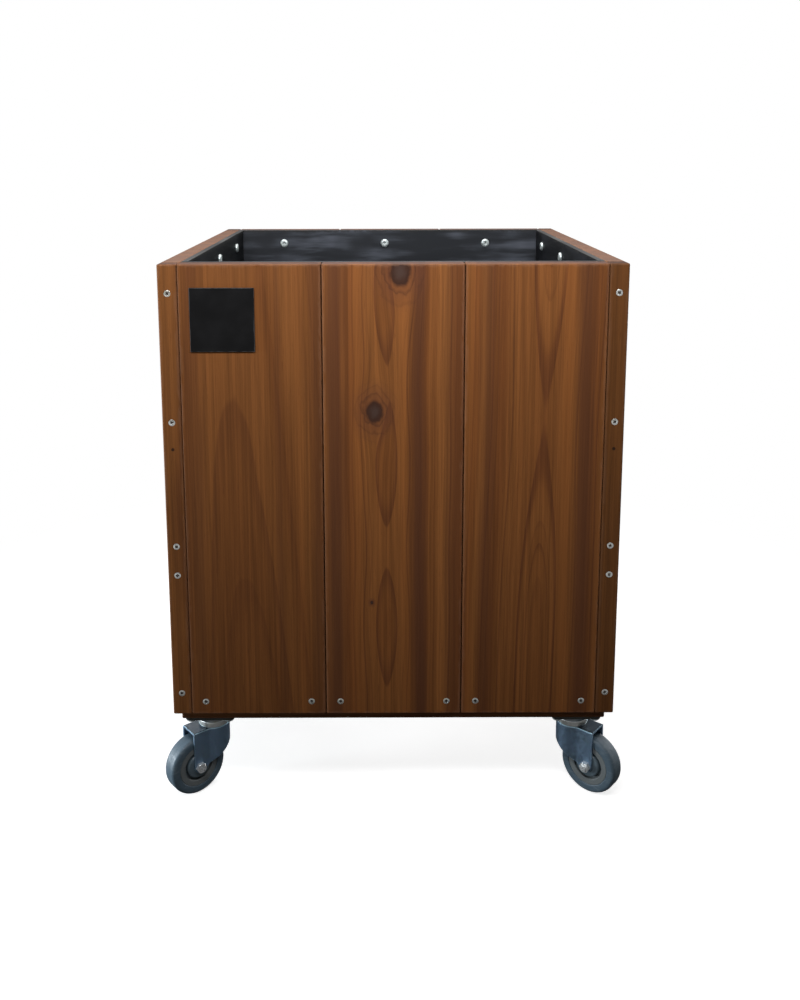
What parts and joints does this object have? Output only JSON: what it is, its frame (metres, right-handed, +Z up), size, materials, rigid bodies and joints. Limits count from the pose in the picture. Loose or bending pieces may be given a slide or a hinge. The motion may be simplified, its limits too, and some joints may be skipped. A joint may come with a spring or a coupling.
{
  "type": "raised planter",
  "caption": "Square raised planter of upright cedar boards with corner strips and a black lining, on swivel casters.",
  "frame": {"origin": "on the ground under the middle of the box", "axes": "+Z up, the front wall with the name plate faces -Y, +X to the right seen from the front"},
  "size_m": [0.4878, 0.4592, 0.578],
  "materials": {
    "cedar": "oiled",
    "base_timber": "oiled",
    "lining": "satin",
    "name_plate": "satin",
    "zinc_steel": "zinc plated",
    "tyre": "matt",
    "wheel_core": "satin"
  },
  "bodies": {
    "planter": {"back_board_1": "cedar", "back_board_2": "cedar", "back_board_3": "cedar", "back_left_caster_plate": "zinc_steel", "back_left_corner_strip": "cedar", "back_liner": "lining", "back_right_caster_plate": "zinc_steel", "back_right_corner_strip": "cedar", "back_runner": "base_timber", "caster_balls": "zinc_steel", "caster_kingpins": "zinc_steel", "caster_screws": "zinc_steel", "floor_board_1": "base_timber", "floor_board_2": "base_timber", "floor_board_3": "base_timber", "floor_liner": "lining", "foot_screws": "zinc_steel", "front_board_1": "cedar", "front_board_2": "cedar", "front_board_3": "cedar", "front_left_caster_plate": "zinc_steel", "front_left_corner_strip": "cedar", "front_liner": "lining", "front_right_caster_plate": "zinc_steel", "front_right_corner_strip": "cedar", "front_runner": "base_timber", "left_board_1": "cedar", "left_board_2": "cedar", "left_board_3": "cedar", "left_liner": "lining", "liner_screws": "zinc_steel", "name_plate": "name_plate", "right_board_1": "cedar", "right_board_2": "cedar", "right_board_3": "cedar", "right_liner": "lining", "runner_screws": "zinc_steel", "strip_screws": "zinc_steel"},
    "front_left_swivel": {"front_left_caster_fork": "zinc_steel", "front_left_axle_bolt": "zinc_steel", "front_left_axle_nut": "zinc_steel"},
    "front_left_wheel": {"front_left_wheel_core": "wheel_core", "front_left_tyre": "tyre"},
    "front_right_swivel": {"front_right_caster_fork": "zinc_steel", "front_right_axle_bolt": "zinc_steel", "front_right_axle_nut": "zinc_steel"},
    "front_right_wheel": {"front_right_wheel_core": "wheel_core", "front_right_tyre": "tyre"},
    "back_left_swivel": {"back_left_caster_fork": "zinc_steel", "back_left_axle_bolt": "zinc_steel", "back_left_axle_nut": "zinc_steel"},
    "back_left_wheel": {"back_left_wheel_core": "wheel_core", "back_left_tyre": "tyre"},
    "back_right_swivel": {"back_right_caster_fork": "zinc_steel", "back_right_axle_bolt": "zinc_steel", "back_right_axle_nut": "zinc_steel"},
    "back_right_wheel": {"back_right_wheel_core": "wheel_core", "back_right_tyre": "tyre"}
  },
  "joints": [
    {"name": "front_left_swivel_turn", "type": "hinge", "parent": "planter", "child": "front_left_swivel", "pos_m": [-0.196, -0.1786, 0.0785], "axis": [0, 0, 1], "continuous": true},
    {"name": "front_left_wheel_spin", "type": "hinge", "parent": "front_left_swivel", "child": "front_left_wheel", "pos_m": [-0.21515, -0.19467, 0.03175], "axis": [0.6428, -0.766, 0], "continuous": true},
    {"name": "front_right_swivel_turn", "type": "hinge", "parent": "planter", "child": "front_right_swivel", "pos_m": [0.196, -0.1786, 0.0785], "axis": [0, 0, 1], "continuous": true},
    {"name": "front_right_wheel_spin", "type": "hinge", "parent": "front_right_swivel", "child": "front_right_wheel", "pos_m": [0.21515, -0.19467, 0.03175], "axis": [0.6428, 0.766, 0], "continuous": true},
    {"name": "back_left_swivel_turn", "type": "hinge", "parent": "planter", "child": "back_left_swivel", "pos_m": [-0.196, 0.1786, 0.0785], "axis": [0, 0, 1], "continuous": true},
    {"name": "back_left_wheel_spin", "type": "hinge", "parent": "back_left_swivel", "child": "back_left_wheel", "pos_m": [-0.21515, 0.19467, 0.03175], "axis": [-0.6428, -0.766, 0], "continuous": true},
    {"name": "back_right_swivel_turn", "type": "hinge", "parent": "planter", "child": "back_right_swivel", "pos_m": [0.196, 0.1786, 0.0785], "axis": [0, 0, 1], "continuous": true},
    {"name": "back_right_wheel_spin", "type": "hinge", "parent": "back_right_swivel", "child": "back_right_wheel", "pos_m": [0.21515, 0.19467, 0.03175], "axis": [-0.6428, 0.766, 0], "continuous": true}
  ]
}
